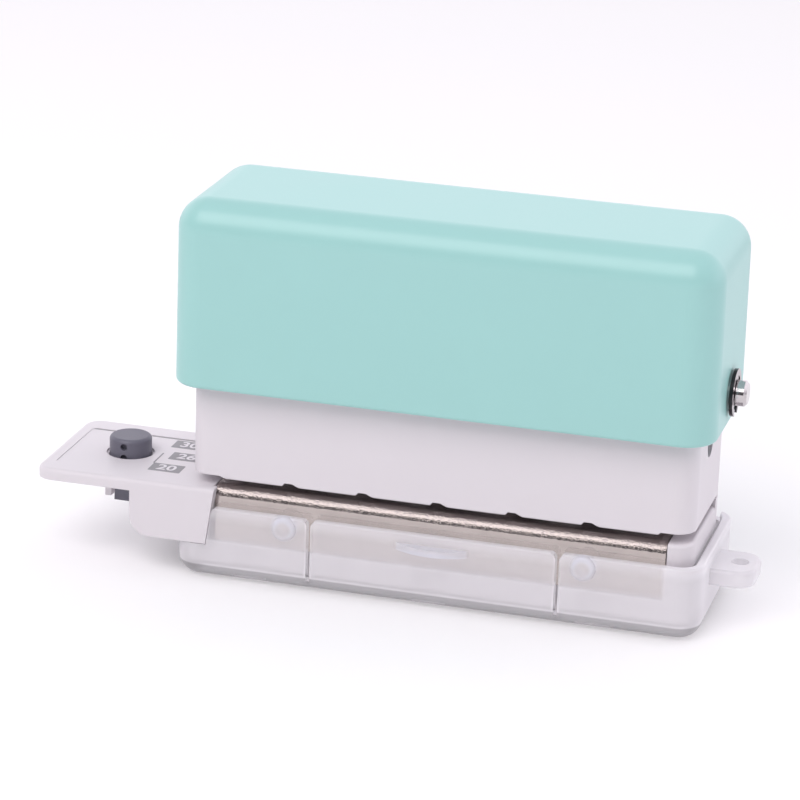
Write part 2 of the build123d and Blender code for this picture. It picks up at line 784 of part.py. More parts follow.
# Chip tray: translucent box under the frame, hinged at the rear
with BuildPart() as chip_tray:
    rounded_between(
        (-tray_half_length, tray_half_length), (tray_front, tray_rear), (0, tray_height), tray_corner_radius,
    )
    fillet(chip_tray.faces().sort_by(Axis.Z)[0].edges(), tray_bottom_radius)
    rounded_between(
        (-tray_inner_half_length, tray_inner_half_length),
        (tray_inner_front, tray_inner_rear),
        (tray_floor, tray_height + cut_overrun),
        tray_corner_radius - tray_wall,
        Mode.SUBTRACT,
    )
    fillet(chip_tray.faces().filter_by(Plane.XY).sort_by(Axis.Z)[1].edges(), tray_bottom_radius - tray_wall)
    fillet(chip_tray.faces().sort_by(Axis.Z)[-1].edges(), tray_rim_radius)
    # The rear wall stays under the frame, and the upper left corner makes room for the block
    box_between(
        (-tray_half_length, body_half_length),
        (body_rear, tray_rear + cut_overrun),
        (hinge_top, tray_height + cut_overrun),
        Mode.SUBTRACT,
    )
    box_between(
        (-tray_half_length - cut_overrun, block_right + tray_block_gap),
        (body_front, tray_rear + cut_overrun),
        (block_bottom - tray_block_gap, tray_height + cut_overrun),
        Mode.SUBTRACT,
    )
    # The front wall follows the block's leaning edge and starts with a round corner
    block_edge_foot = block_lip_edge - block_slant + tray_block_gap
    end_place = block_lip_edge + tray_block_gap - block_slant * tray_rim_drop / block_height
    end_foot = tray_height - tray_end_radius
    with BuildSketch(Plane.XZ.offset(-body_front)):
        with BuildLine():
            Polyline(
                (-tray_half_length - cut_overrun, deck_height),
                (block_lip_edge + tray_block_gap, deck_height),
                (block_edge_foot, block_bottom),
                (block_edge_foot, block_bottom - tray_block_gap),
                (-tray_half_length - cut_overrun, block_bottom - tray_block_gap),
                close=True,
            )
        make_face()
        with Locations((end_place, end_foot)):
            Rectangle(tray_end_radius, tray_end_radius + cut_overrun, align=(Align.MIN, Align.MIN))
        with Locations((end_place + tray_end_radius, end_foot)):
            Circle(tray_end_radius, mode=Mode.SUBTRACT)
    extrude(amount=body_front - tray_front + cut_overrun, mode=Mode.SUBTRACT)
    # Hinge knuckles, with room between them for those of the frame
    middle_knuckle = (-middle_knuckle_length / 2, middle_knuckle_length / 2)
    rod_along_x(middle_knuckle, hinge_y, hinge_height, knuckle_radius)
    for side in BOTH_SIDES:
        outer_knuckle = (side * outer_knuckle_start, side * (outer_knuckle_start + knuckle_length))
        rod_along_x(outer_knuckle, hinge_y, hinge_height, knuckle_radius)
        box_between(
            (side * (knuckle_inner_place - knuckle_gap), side * outer_knuckle_start),
            (body_rear, tray_rear + cut_overrun),
            (hinge_height - knuckle_radius - tray_swing_gap, tray_height),
            Mode.SUBTRACT,
        )
    rod_along_x(
        (-hinge_pin_half_length, hinge_pin_half_length), hinge_y, hinge_height,
        hinge_pin_diameter / 2 + hinge_running_clearance, Mode.SUBTRACT,
    )
    # Snap studs and inner tabs of the front wall
    stud_height = tray_height - snap_drop
    stud_front = tray_front - snap_rise
    stud_back = tray_front + tray_wall / 2
    for side in BOTH_SIDES:
        middle = side * (tongue_half_length + snap_offset)
        stud_edge = middle + snap_diameter / 2
        arc_start = (stud_edge - snap_edge_radius, stud_front)
        arc_end = (stud_edge, stud_front + snap_edge_radius)
        with BuildSketch(Plane.XY.offset(stud_height)):
            with BuildLine():
                TangentArc(arc_start, arc_end, tangent=(1, 0))
                Polyline(
                    arc_end,
                    (stud_edge, stud_back),
                    (middle, stud_back),
                    (middle, stud_front),
                    arc_start,
                )
            make_face()
        revolve(axis=Axis((middle, 0, stud_height), (0, 1, 0)))
    for share in tab_place_shares:
        middle = share * tray_half_length
        box_between(
            (middle - tab_width / 2, middle + tab_width / 2),
            (tray_inner_front - tray_wall / 2, tray_inner_front + tab_depth),
            (tray_floor / 2, tray_floor + tab_height),
        )
    # Tongue of the front wall between two slits, with its half-moon thumb lip
    flare_foot = tray_height - slit_flare_radius
    flare_half_width = slit_width / 2 + slit_flare_radius
    with BuildSketch(Plane.XZ.offset(-tray_inner_front - tray_wall)):
        for side in BOTH_SIDES:
            middle = side * tongue_half_length
            with Locations((middle, flare_foot)):
                Rectangle(2 * flare_half_width, slit_flare_radius + cut_overrun, align=FROM_FOOT)
            with Locations((middle - flare_half_width, flare_foot), (middle + flare_half_width, flare_foot)):
                Circle(slit_flare_radius, mode=Mode.SUBTRACT)
            with Locations((middle, slit_height_above_table)):
                Rectangle(slit_width, flare_foot - slit_height_above_table, align=FROM_FOOT)
    extrude(amount=2 * tray_wall + cut_overrun, mode=Mode.SUBTRACT)
    with BuildSketch(Plane.XY.offset(tray_height - lip_drop - lip_thickness)):
        with BuildLine():
            lip_left = (-lip_length / 2, tray_front)
            lip_right = (lip_length / 2, tray_front)
            ThreePointArc(lip_left, (0, tray_front - lip_reach), lip_right)
            Polyline(
                lip_right,
                (lip_length / 2, tray_front + tray_wall / 2),
                (-lip_length / 2, tray_front + tray_wall / 2),
                lip_left,
            )
        make_face()
    extrude(amount=lip_thickness)
    # Hanging lug on the right wall
    lug_end = tray_half_length + lug_reach
    lug_top = tray_height - lug_drop
    box_between(
        (tray_half_length - tray_wall / 2, lug_end),
        (-lug_width / 2, lug_width / 2),
        (lug_top - lug_thickness, lug_top),
    )
    fillet(chip_tray.edges().filter_by(Axis.Z).group_by(Axis.X)[-1], lug_corner_radius)
    lug_edges = chip_tray.edges().filter_by_position(Axis.X, tray_half_length, lug_end, (False, True))
    fillet(lug_edges.group_by(Axis.Z)[0] + lug_edges.group_by(Axis.Z)[-1], lug_edge_radius)
    rod_upright(
        lug_end - lug_hole_inset, 0, (lug_top - lug_thickness - cut_overrun, lug_top + cut_overrun),
        lug_hole_diameter / 2, Mode.SUBTRACT,
    )
chip_tray.part.label = "chip_tray"
export_step(chip_tray.part, "parts/chip_tray.step")

# Hinge pin of the tray
with BuildPart() as tray_hinge_pin:
    hinge_span = (-hinge_pin_half_length, hinge_pin_half_length)
    rod_along_x(hinge_span, hinge_y, hinge_height, hinge_pin_diameter / 2)
tray_hinge_pin.part.label = "tray_hinge_pin"
export_step(tray_hinge_pin.part, "parts/tray_hinge_pin.step")
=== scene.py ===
import json
import math

import bpy
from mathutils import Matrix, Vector


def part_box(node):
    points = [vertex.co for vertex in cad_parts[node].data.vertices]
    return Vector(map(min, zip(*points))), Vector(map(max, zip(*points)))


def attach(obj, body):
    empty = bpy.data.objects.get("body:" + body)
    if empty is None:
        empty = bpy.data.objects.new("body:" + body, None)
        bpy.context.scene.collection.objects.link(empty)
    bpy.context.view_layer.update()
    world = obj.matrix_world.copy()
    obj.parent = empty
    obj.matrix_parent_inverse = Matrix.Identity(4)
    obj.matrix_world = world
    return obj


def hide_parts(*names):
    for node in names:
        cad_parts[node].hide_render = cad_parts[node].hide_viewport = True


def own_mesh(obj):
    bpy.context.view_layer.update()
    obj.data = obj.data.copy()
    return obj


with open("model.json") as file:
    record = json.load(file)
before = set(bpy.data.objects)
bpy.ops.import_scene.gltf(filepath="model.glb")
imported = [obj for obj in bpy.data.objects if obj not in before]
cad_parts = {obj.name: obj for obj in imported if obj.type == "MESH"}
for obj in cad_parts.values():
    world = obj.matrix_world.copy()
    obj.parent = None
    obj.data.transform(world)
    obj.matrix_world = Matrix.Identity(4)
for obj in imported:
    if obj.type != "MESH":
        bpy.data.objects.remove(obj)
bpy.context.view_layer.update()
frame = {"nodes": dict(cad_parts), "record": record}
nodes = frame["nodes"]

# Lengths are metres, in the frame of the part: X along the row, +Y to the rear, Z up from the table.
MM = 0.001


# Helpers for modelling

# How far above the top of a node the look down on it starts
LOOK_DOWN_FROM = 1.0 * MM


def start_clean():
    """Leave edit mode and select nothing, so that the next operator acts on the new piece alone."""
    if bpy.context.object and bpy.context.object.mode != "OBJECT":
        bpy.ops.object.mode_set(mode="OBJECT")
    bpy.ops.object.select_all(action="DESELECT")


def settle(piece, name):
    """Name a finished piece and move its place, turn and size into its mesh."""
    start_clean()
    piece.select_set(True)
    bpy.context.view_layer.objects.active = piece
    bpy.ops.object.transform_apply(location=True, rotation=True, scale=True)
    piece.name = name
    piece.data.name = name


def dress(piece, material):
    """Give a piece its material and nothing else."""
    piece.data.materials.clear()
    piece.data.materials.append(material)


def surface_below(node, x, y):
    """The height of a CAD node's top surface at a place seen from above."""
    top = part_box(node)[1].z
    hit, place, _, _ = nodes[node].ray_cast(Vector((x, y, top + LOOK_DOWN_FROM)), Vector((0, 0, -1)))
    return place.z if hit else top


# Helpers for shader nodes: a value is a socket or a plain number, and a span is a pair of values

def add_node(tree, kind, **settings):
    """A new node with its properties set."""
    node = tree.nodes.new(kind)
    for key, value in settings.items():
        setattr(node, key, value)
    return node


def feed(tree, value, socket):
    """Link a socket to where its value comes from, or set it to a plain number."""
    if isinstance(value, (int, float)):
        socket.default_value = value
    else:
        tree.links.new(value, socket)


def math_node(tree, operation, first, second, clamp=False):
    """A Math node on two values."""
    node = add_node(tree, "ShaderNodeMath", operation=operation, use_clamp=clamp)
    feed(tree, first, node.inputs[0])
    feed(tree, second, node.inputs[1])
    return node.outputs[0]


def product(tree, first, second):
    """Two values multiplied; of two masks, the place where both are."""
    return math_node(tree, "MULTIPLY", first, second)


def total(tree, first, second, clamp=False):
    """Two values added."""
    return math_node(tree, "ADD", first, second, clamp)


def less(tree, first, second):
    """The first value less the second."""
    return math_node(tree, "SUBTRACT", first, second)


def either_side(tree, value):
    """A value without its sign, so that both sides are alike."""
    return math_node(tree, "ABSOLUTE", value, 0.0)


def ramp(tree, value, source, target):
    """A value carried smoothly from one span to another."""
    node = add_node(tree, "ShaderNodeMapRange", interpolation_type="SMOOTHSTEP")
    tree.links.new(value, node.inputs["Value"])
    node.inputs["From Min"].default_value, node.inputs["From Max"].default_value = source
    node.inputs["To Min"].default_value, node.inputs["To Max"].default_value = target
    return node.outputs["Result"]


def fade_in(tree, value, span):
    """A mask that rises from 0 to 1 over a span."""
    return ramp(tree, value, span, (0.0, 1.0))


def fade_out(tree, value, span):
    """A mask that falls from 1 to 0 over a span."""
    return ramp(tree, value, span, (1.0, 0.0))


def along_axes(tree, kind):
    """X, Y and Z of a place (Object), of the way a surface faces (Normal) or of a view (Generated)."""
    source = add_node(tree, "ShaderNodeTexCoord")
    parts = add_node(tree, "ShaderNodeSeparateXYZ")
    tree.links.new(source.outputs[kind], parts.inputs["Vector"])
    return parts.outputs["X"], parts.outputs["Y"], parts.outputs["Z"]


def noise(tree, place, scale, detail):
    """A noise over the surface, from 0 to 1."""
    node = add_node(tree, "ShaderNodeTexNoise")
    tree.links.new(place, node.inputs["Vector"])
    feed(tree, scale, node.inputs["Scale"])
    node.inputs["Detail"].default_value = detail
    return node.outputs["Fac"]


def bumped(tree, height, strength, distance, normal=None):
    """A normal that follows a height, on top of another normal where one is given."""
    node = add_node(tree, "ShaderNodeBump")
    node.inputs["Distance"].default_value = distance
    feed(tree, strength, node.inputs["Strength"])
    tree.links.new(height, node.inputs["Height"])
    if normal:
        tree.links.new(normal, node.inputs["Normal"])
    return node.outputs["Normal"]


# Node groups that several finishes share

GROUP_OUTPUTS = {
    "Shade": "NodeSocketFloat",
    "Roughness": "NodeSocketFloat",
    "Normal": "NodeSocketVector",
}
NOISE_MIDDLE = 0.5

# Mould skin: its fine grain also changes the roughness, and its slow patches change it more than the shade
GRAIN_DETAIL = 3.0
GRAIN_BUMP = 0.02 * MM
GRAIN_ROUGHNESS = 0.08
PATCH_SCALE = 90.0
PATCH_DETAIL = 2.0
PATCH_ROUGHNESS = 2.0

# Drawn steel: fine lines along X, pebbles, and slow clouds; lines and clouds change shade and roughness
LINE_STRETCH = (60.0, 5000.0, 5000.0)
LINE_SCALE = 1.0
LINE_DETAIL = 4.0
LINE_BUMP = 0.02 * MM
PEBBLE_SCALE = 4800.0
PEBBLE_DETAIL = 2.0
PEBBLE_BUMP = 0.1 * MM
CLOUD_SCALE = 260.0
CLOUD_DETAIL = 2.0
STEEL_CHANGE = 0.25
LEAST_ROUGHNESS = 0.05


def new_group(name, inputs):
    """An empty node group, with what goes into it and what comes out of it."""
    group = bpy.data.node_groups.new(name, "ShaderNodeTree")
    for socket in inputs:
        group.interface.new_socket(socket, in_out="INPUT", socket_type="NodeSocketFloat")
    for socket, kind in GROUP_OUTPUTS.items():
        group.interface.new_socket(socket, in_out="OUTPUT", socket_type=kind)
    return group, group.nodes.new("NodeGroupInput").outputs, group.nodes.new("NodeGroupOutput").inputs


def make_moulded_skin():
    """Spark-eroded mould skin: fine grain in the normal, slow drift of shade and roughness."""
    group, given, made = new_group("moulded_skin", ("Grain Scale", "Grain Depth", "Roughness", "Drift"))
    place = add_node(group, "ShaderNodeTexCoord").outputs["Object"]
    grain = noise(group, place, given["Grain Scale"], GRAIN_DETAIL)
    patches = noise(group, place, PATCH_SCALE, PATCH_DETAIL)
    drift = product(group, less(group, patches, NOISE_MIDDLE), given["Drift"])
    mottled = total(group, given["Roughness"], product(group, drift, PATCH_ROUGHNESS))
    fine = product(group, less(group, grain, NOISE_MIDDLE), GRAIN_ROUGHNESS)
    group.links.new(total(group, drift, 1.0), made["Shade"])
    group.links.new(total(group, mottled, fine, clamp=True), made["Roughness"])
    group.links.new(bumped(group, grain, given["Grain Depth"], GRAIN_BUMP), made["Normal"])
    return group


def make_drawn_steel():
    """Drawing lines along X in sheet and bar steel, a pebbled skin where asked, a slow change of shade."""
    group, given, made = new_group("drawn_steel", ("Line Depth", "Peel Depth", "Roughness"))
    place = add_node(group, "ShaderNodeTexCoord").outputs["Object"]
    stretch = add_node(group, "ShaderNodeMapping")
    stretch.inputs["Scale"].default_value = LINE_STRETCH
    group.links.new(place, stretch.inputs["Vector"])
    lines = noise(group, stretch.outputs["Vector"], LINE_SCALE, LINE_DETAIL)
    pebbles = noise(group, place, PEBBLE_SCALE, PEBBLE_DETAIL)
    clouds = noise(group, place, CLOUD_SCALE, CLOUD_DETAIL)
    lined = bumped(group, lines, given["Line Depth"], LINE_BUMP)
    pebbled = bumped(group, pebbles, given["Peel Depth"], PEBBLE_BUMP, lined)
    change = product(group, less(group, total(group, lines, clouds), 2 * NOISE_MIDDLE), STEEL_CHANGE)
    rough = total(group, given["Roughness"], change)
    group.links.new(total(group, change, 1.0), made["Shade"])
    group.links.new(math_node(group, "MAXIMUM", rough, LEAST_ROUGHNESS), made["Roughness"])
    group.links.new(pebbled, made["Normal"])
    return group


moulded_skin = make_moulded_skin()
drawn_steel = make_drawn_steel()


# Helpers for finishes

def new_material(name):
    """A material with a Principled shader, ready for its nodes."""
    material = bpy.data.materials.new(name)
    material.use_nodes = True
    tree = material.node_tree
    return material, tree, tree.nodes["Principled BSDF"]


def add_group(tree, group, values):
    """A shared node group in a material, with that material's own values."""
    node = add_node(tree, "ShaderNodeGroup", node_tree=group)
    for socket, value in values.items():
        node.inputs[socket].default_value = value
    return node


def tinted(tree, colour, factor):
    """A colour multiplied by a value that changes over the surface."""
    scale = add_node(tree, "ShaderNodeVectorMath", operation="SCALE")
    scale.inputs[0].default_value = colour
    tree.links.new(factor, scale.inputs["Scale"])
    return scale.outputs["Vector"]


def link_surface(tree, shader, colour, skin):
    """Give a shader its colour, and the roughness and the normal of a skin."""
    tree.links.new(colour, shader.inputs["Base Color"])
    for socket in ("Roughness", "Normal"):
        tree.links.new(skin.outputs[socket], shader.inputs[socket])


def add_mould_skin(tree, roughness, grain, drift):
    """The mould skin of one plastic; its grain is a scale and a depth."""
    scale, depth = grain
    values = {"Grain Scale": scale, "Grain Depth": depth, "Roughness": roughness, "Drift": drift}
    return add_group(tree, moulded_skin, values)


# Opaque plastics and inks

def moulded(name, colour, roughness, grain, drift):
    """An opaque moulded plastic, or an ink."""
    material, tree, shader = new_material(name)
    skin = add_mould_skin(tree, roughness, grain, drift)
    link_surface(tree, shader, tinted(tree, colour, skin.outputs["Shade"]), skin)
    return material


# Steels

# Heights of the die plate's bend: where its skin turns pebbled, and the band of painted shade that dims the
# highlight there
BEND_FOOT = (10.6 * MM, 11.0 * MM)
BEND_PEEL = 0.6
SHADE_BAND_FOOT = (10.85 * MM, 11.1 * MM)
SHADE_BAND_TOP = (11.5 * MM, 11.8 * MM)
BEND_PAINTED_SHADE = 0.47
# How far a clip's surface faces along its shaft, and how dark the painted shade on its edges is
CLIP_TURN = (0.5, 0.8)
CLIP_PAINTED_EDGE_SHADE = 0.18


def mark_bend(tree, skin):
    """Pebble the skin along the die plate's bend, and darken its colour in a band there: painted shade that
    dims the highlight.
    """
    _, _, height = along_axes(tree, "Object")
    tree.links.new(ramp(tree, height, BEND_FOOT, (0.0, BEND_PEEL)), skin.inputs["Peel Depth"])
    # painted shade: the colour is darkened in a band across the bend, which dims the highlight and darkens
    # its lower edge
    band = product(tree, fade_in(tree, height, SHADE_BAND_FOOT), fade_out(tree, height, SHADE_BAND_TOP))
    return less(tree, 1.0, product(tree, band, BEND_PAINTED_SHADE))


def mark_painted_edge_shade(tree, _):
    """Painted shade on a clip stamped from sheet: faces along the shaft keep their colour, the edges are
    darkened.
    """
    faces_along, _, _ = along_axes(tree, "Normal")
    # painted shade: the colour darkens where the surface turns away from facing along the shaft
    return ramp(tree, either_side(tree, faces_along), CLIP_TURN, (CLIP_PAINTED_EDGE_SHADE, 1.0))


def steel(name, colour, roughness, line_depth, mark=None):
    """A drawn or ground steel; a mark changes its shade, or its skin, from place to place."""
    material, tree, shader = new_material(name)
    skin = add_group(tree, drawn_steel, {"Line Depth": line_depth, "Roughness": roughness})
    shade = skin.outputs["Shade"]
    if mark:
        shade = product(tree, shade, mark(tree, skin))
    link_surface(tree, shader, tinted(tree, colour, shade), skin)
    shader.inputs["Metallic"].default_value = 1.0
    return material


# The tray's milky plastic

# A cover is the share that the tray hides of what lies behind it: the plain wall's, its edges', where the
# wall turns away from the eye, and what each place below adds
WALL_COVER = 0.65
EDGE_COVER = 0.86
EDGE_TURN = (0.2, 0.85)
ADDED_COVERS = {"flange": -0.32, "ring": 0.1, "lip": 0.06, "floor": 0.1, "slit_edge": 0.2, "rim": 0.2}
# Shares of a shadow and of a reflection that pass through the tray
SHADOW_CLEAR = 0.75
MIRROR_CLEAR = 0.85

# The edge of the tray's floor: its height, how level a surface may be, and how dark the edge is
FLOOR_BAND = (1.75 * MM, 2.0 * MM)
FLOOR_TURN = (0.94, 0.99)
FLOOR_SHADE = 0.52
# The wall in front of the die plate's flange: its height, and how far from the middle it ends
FLANGE_FOOT = (5.2 * MM, 5.6 * MM)
FLANGE_END = (28.5 * MM, 29.2 * MM)
# The rim of the tray: its height
RIM_BAND = (7.6 * MM, 9.2 * MM)
# The snap studs: the right one's middle, which the left one mirrors, the edge of each, the share of its
# rounding that doesn't count as turned away from the eye, and the ring of painted highlight on it
STUD_PLACE = (19.0 * MM, 0.0, 8.1 * MM)
STUD_EDGE = (1.7 * MM, 2.0 * MM)
STUD_SOFT = 0.8
HIGHLIGHT_RING_IN = (0.6 * MM, 1.2 * MM)
HIGHLIGHT_RING_OUT = (1.3 * MM, 1.9 * MM)
# The thumb lip: how far forward it starts and how far from the middle it ends; the lip and the stud rings
# get a painted bluish-white highlight
LIP_FOOT = (-10.3 * MM, -10.1 * MM)
LIP_END = (8.0 * MM, 9.0 * MM)
PAINTED_HIGHLIGHT_TINT = (0.76, 0.775, 0.86, 1.0)
# The slits beside the tongue: their place, their clear side walls, and the pale edges in the front wall
SLIT_PLACE = 15.8 * MM
SLIT_SIDE = (0.6 * MM, 0.8 * MM)
SLIT_TURN = (0.6, 0.9)
SLIT_CLEAR = 0.8
SLIT_EDGE = (0.3 * MM, 0.6 * MM)
SLIT_DEPTH = (-9.0 * MM, -8.8 * MM)


def reach_from_stud(tree, from_middle, height):
    """How far a place is from the nearer snap stud, seen from the front."""
    flat = add_node(tree, "ShaderNodeCombineXYZ")
    tree.links.new(from_middle, flat.inputs["X"])
    tree.links.new(height, flat.inputs["Z"])
    reach = add_node(tree, "ShaderNodeVectorMath", operation="DISTANCE")
    tree.links.new(flat.outputs["Vector"], reach.inputs[0])
    reach.inputs[1].default_value = STUD_PLACE
    return reach.outputs["Value"]


def mask_tray(tree):
    """Masks of the places on the tray that differ from its plain wall."""
    x, y, height = along_axes(tree, "Object")
    faces_x, _, faces_z = along_axes(tree, "Normal")
    from_middle = either_side(tree, x)
    from_slit = either_side(tree, less(tree, from_middle, SLIT_PLACE))
    reach = reach_from_stud(tree, from_middle, height)
    not_level = fade_out(tree, either_side(tree, faces_z), FLOOR_TURN)
    sideways = fade_in(tree, either_side(tree, faces_x), SLIT_TURN)
    along_flange = fade_out(tree, from_middle, FLANGE_END)
    return {
        "floor": product(tree, fade_out(tree, height, FLOOR_BAND), not_level),
        "flange": product(tree, fade_in(tree, height, FLANGE_FOOT), along_flange),
        "rim": fade_in(tree, height, RIM_BAND),
        "stud": fade_out(tree, reach, STUD_EDGE),
        "ring": product(tree, fade_in(tree, reach, HIGHLIGHT_RING_IN), fade_out(tree, reach, HIGHLIGHT_RING_OUT)),
        "lip": product(tree, fade_out(tree, y, LIP_FOOT), fade_out(tree, from_middle, LIP_END)),
        "slit_edge": product(tree, fade_out(tree, from_slit, SLIT_EDGE), fade_out(tree, y, SLIT_DEPTH)),
        "slit_wall": product(tree, sideways, fade_out(tree, from_slit, SLIT_SIDE)),
    }


def pass_light(tree):
    """The share of a shadow or a reflection that passes through the tray."""
    ray = add_node(tree, "ShaderNodeLightPath")
    mirrored = product(tree, ray.outputs["Is Glossy Ray"], MIRROR_CLEAR)
    shadowed = product(tree, ray.outputs["Is Shadow Ray"], SHADOW_CLEAR)
    return math_node(tree, "MAXIMUM", mirrored, shadowed)


def cover_tray(tree, masks):
    """How much the tray hides from place to place."""
    edge = add_node(tree, "ShaderNodeLayerWeight")
    off_stud = less(tree, 1.0, product(tree, masks["stud"], STUD_SOFT))
    turned = product(tree, edge.outputs["Facing"], off_stud)
    cover = ramp(tree, turned, EDGE_TURN, (WALL_COVER, EDGE_COVER))
    for name, share in ADDED_COVERS.items():
        cover = total(tree, cover, product(tree, masks[name], share), clamp=True)
    cover = product(tree, cover, less(tree, 1.0, product(tree, masks["slit_wall"], SLIT_CLEAR)))
    return product(tree, cover, less(tree, 1.0, pass_light(tree)))


def frosted(name, colour, roughness, grain, drift):
    """The milky tray plastic: it hides least where the flange of the die plate shows through it."""
    material, tree, shader = new_material(name)
    skin = add_mould_skin(tree, roughness, grain, drift)
    masks = mask_tray(tree)
    shade = less(tree, skin.outputs["Shade"], product(tree, masks["floor"], FLOOR_SHADE))
    # painted highlight: the lip and the stud rings are blended towards a pale bluish tint
    blend = add_node(tree, "ShaderNodeMixRGB")
    tree.links.new(total(tree, masks["lip"], masks["ring"], clamp=True), blend.inputs["Fac"])
    tree.links.new(tinted(tree, colour, shade), blend.inputs["Color1"])
    blend.inputs["Color2"].default_value = PAINTED_HIGHLIGHT_TINT
    link_surface(tree, shader, blend.outputs["Color"], skin)
    tree.links.new(cover_tray(tree, masks), shader.inputs["Alpha"])
    return material


# The finish of each material slot, and of the two inks

PLASTICS = {
    "mint_plastic": dict(colour=(0.345, 0.63, 0.60), roughness=0.33, grain=(3500.0, 0.08), drift=0.03),
    "white_plastic": dict(colour=(0.72, 0.685, 0.715), roughness=0.45, grain=(2600.0, 0.14), drift=0.03),
    "grey_plastic": dict(colour=(0.14, 0.137, 0.175), roughness=0.44, grain=(2200.0, 0.25), drift=0.12),
    "tag_ink": dict(colour=(0.30, 0.295, 0.31), roughness=0.55, grain=(4000.0, 0.1), drift=0.1),
    "number_ink": dict(colour=(0.76, 0.73, 0.77), roughness=0.5, grain=(4000.0, 0.1), drift=0.05),
}
TRAY_PLASTIC = dict(colour=(0.80, 0.78, 0.81), roughness=0.34, grain=(1800.0, 0.12), drift=0.04)
STEELS = {
    "die_steel": dict(colour=(0.495, 0.44, 0.418), roughness=0.13, line_depth=0.05, mark=mark_bend),
    "punch_steel": dict(colour=(0.62, 0.62, 0.63), roughness=0.22, line_depth=0.1),
    "shaft_steel": dict(colour=(0.56, 0.53, 0.535), roughness=0.1, line_depth=0.06),
    "clip_steel": dict(colour=(0.27, 0.245, 0.26), roughness=0.12, line_depth=0.05, mark=mark_painted_edge_shade),
    "spring_steel": dict(colour=(0.5, 0.5, 0.51), roughness=0.25, line_depth=0.05),
    "screw_steel": dict(colour=(0.6, 0.6, 0.62), roughness=0.25, line_depth=0.05),
}

finishes = {name: moulded(name, **recipe) for name, recipe in PLASTICS.items()}
finishes["clear_plastic"] = frosted("clear_plastic", **TRAY_PLASTIC)
finishes.update({name: steel(name, **recipe) for name, recipe in STEELS.items()})
for subpart in frame["record"]["subparts"]:
    dress(nodes[subpart["node"]], finishes[subpart["material_slot"]])


# Return springs

SPRING_WIRE = 0.5 * MM
SPRING_WIRE_SIDES = 10
SPRING_TURNS = 5
SPRING_TURN_STEPS = 28
SPRING_SMOOTH_ANGLE = math.radians(40)


def wind_coil(low, high):
    """Wind a wire into a coil that fills the box of a spring."""
    start_clean()
    wire_radius = SPRING_WIRE / 2
    bpy.ops.mesh.primitive_circle_add(vertices=SPRING_WIRE_SIDES, radius=wire_radius, fill_type="NOTHING")
    coil = bpy.context.object
    bpy.ops.object.mode_set(mode="EDIT")
    bpy.ops.mesh.select_all(action="SELECT")
    bpy.ops.transform.rotate(value=math.pi / 2, orient_axis="X", center_override=(0, 0, 0))
    coil_radius = (high.x - low.x - SPRING_WIRE) / 2
    bpy.ops.transform.translate(value=(coil_radius, 0, 0))
    bpy.ops.object.mode_set(mode="OBJECT")
    winding = coil.modifiers.new("winding", "SCREW")
    winding.axis = "Z"
    winding.iterations = SPRING_TURNS
    winding.screw_offset = (high.z - low.z - SPRING_WIRE) / SPRING_TURNS
    winding.steps = SPRING_TURN_STEPS
    winding.render_steps = SPRING_TURN_STEPS
    winding.use_normal_calculate = True
    bpy.ops.object.modifier_apply(modifier="winding")
    middle = (low + high) / 2
    coil.location = (middle.x, middle.y, low.z + wire_radius)
    return coil


def close_wire_ends():
    """Close both ends of the active coil's wire, and turn its faces outwards."""
    bpy.ops.object.mode_set(mode="EDIT")
    bpy.ops.mesh.select_all(action="DESELECT")
    bpy.ops.mesh.select_non_manifold()
    bpy.ops.mesh.fill_holes(sides=0)
    bpy.ops.mesh.select_all(action="SELECT")
    bpy.ops.mesh.normals_make_consistent(inside=False)
    bpy.ops.object.mode_set(mode="OBJECT")
    bpy.ops.object.shade_smooth_by_angle(angle=SPRING_SMOOTH_ANGLE)


def make_spring(node):
    """One return spring in the space of its CAD node, attached to the base."""
    low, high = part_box(node)
    spring = wind_coil(low, high)
    settle(spring, node + "_coil")
    close_wire_ends()
    dress(spring, finishes["spring_steel"])
    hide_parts(node)
    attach(spring, "base")
    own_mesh(spring)


for name in sorted(nodes):
    if name.startswith("return_spring"):
        make_spring(name)


# Printed scale on the guide plate, and a painted shadow line along the rear of its field

INK_THICKNESS = 0.02 * MM
CORNER_RADIUS = 0.12 * MM
CORNER_SEGMENTS = 3
# The most that a corner takes of a patch's shorter side
CORNER_SHARE = 1 / 3
TAG_SIZE = (4.2 * MM, 2.7 * MM)
# The number on each tag, the tag's left end and its middle from front to rear
TAGS = (("20", -38.5 * MM, -4.3 * MM), ("26", -37.4 * MM, 0.3 * MM), ("30", -38.5 * MM, 4.65 * MM))
NUMBER_SIZE = 2.5 * MM
# How much the strokes of a number are thickened
NUMBER_WEIGHT = 0.05 * MM
LEADER_SIZE = (0.2 * MM, 3.8 * MM)
LEADER_PLACE = (-38.6 * MM, -1.1 * MM)
# A thin dark strip of ink along the rear of the field: painted shadow of the field's rear edge
SHADOW_LINE_SIZE = (17.6 * MM, 0.2 * MM)
SHADOW_LINE_PLACE = (-41.3 * MM, 6.45 * MM)


def print_patch(name, size, place):
    """A flat patch of ink with rounded corners, on the guide plate."""
    start_clean()
    height = surface_below("base_frame", *place)
    bpy.ops.mesh.primitive_plane_add(size=1, location=(*place, height))
    patch = bpy.context.object
    patch.scale = (*size, 1)
    settle(patch, name)
    corner = min(CORNER_RADIUS, min(size) * CORNER_SHARE)
    bpy.ops.object.mode_set(mode="EDIT")
    bpy.ops.mesh.select_all(action="SELECT")
    bpy.ops.mesh.bevel(offset=corner, segments=CORNER_SEGMENTS, affect="VERTICES")
    bpy.ops.mesh.select_all(action="SELECT")
    bpy.ops.mesh.extrude_region_move(TRANSFORM_OT_translate={"value": (0, 0, INK_THICKNESS)})
    bpy.ops.mesh.select_all(action="SELECT")
    bpy.ops.mesh.normals_make_consistent(inside=False)
    bpy.ops.object.mode_set(mode="OBJECT")
    dress(patch, finishes["tag_ink"])
    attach(patch, "base")


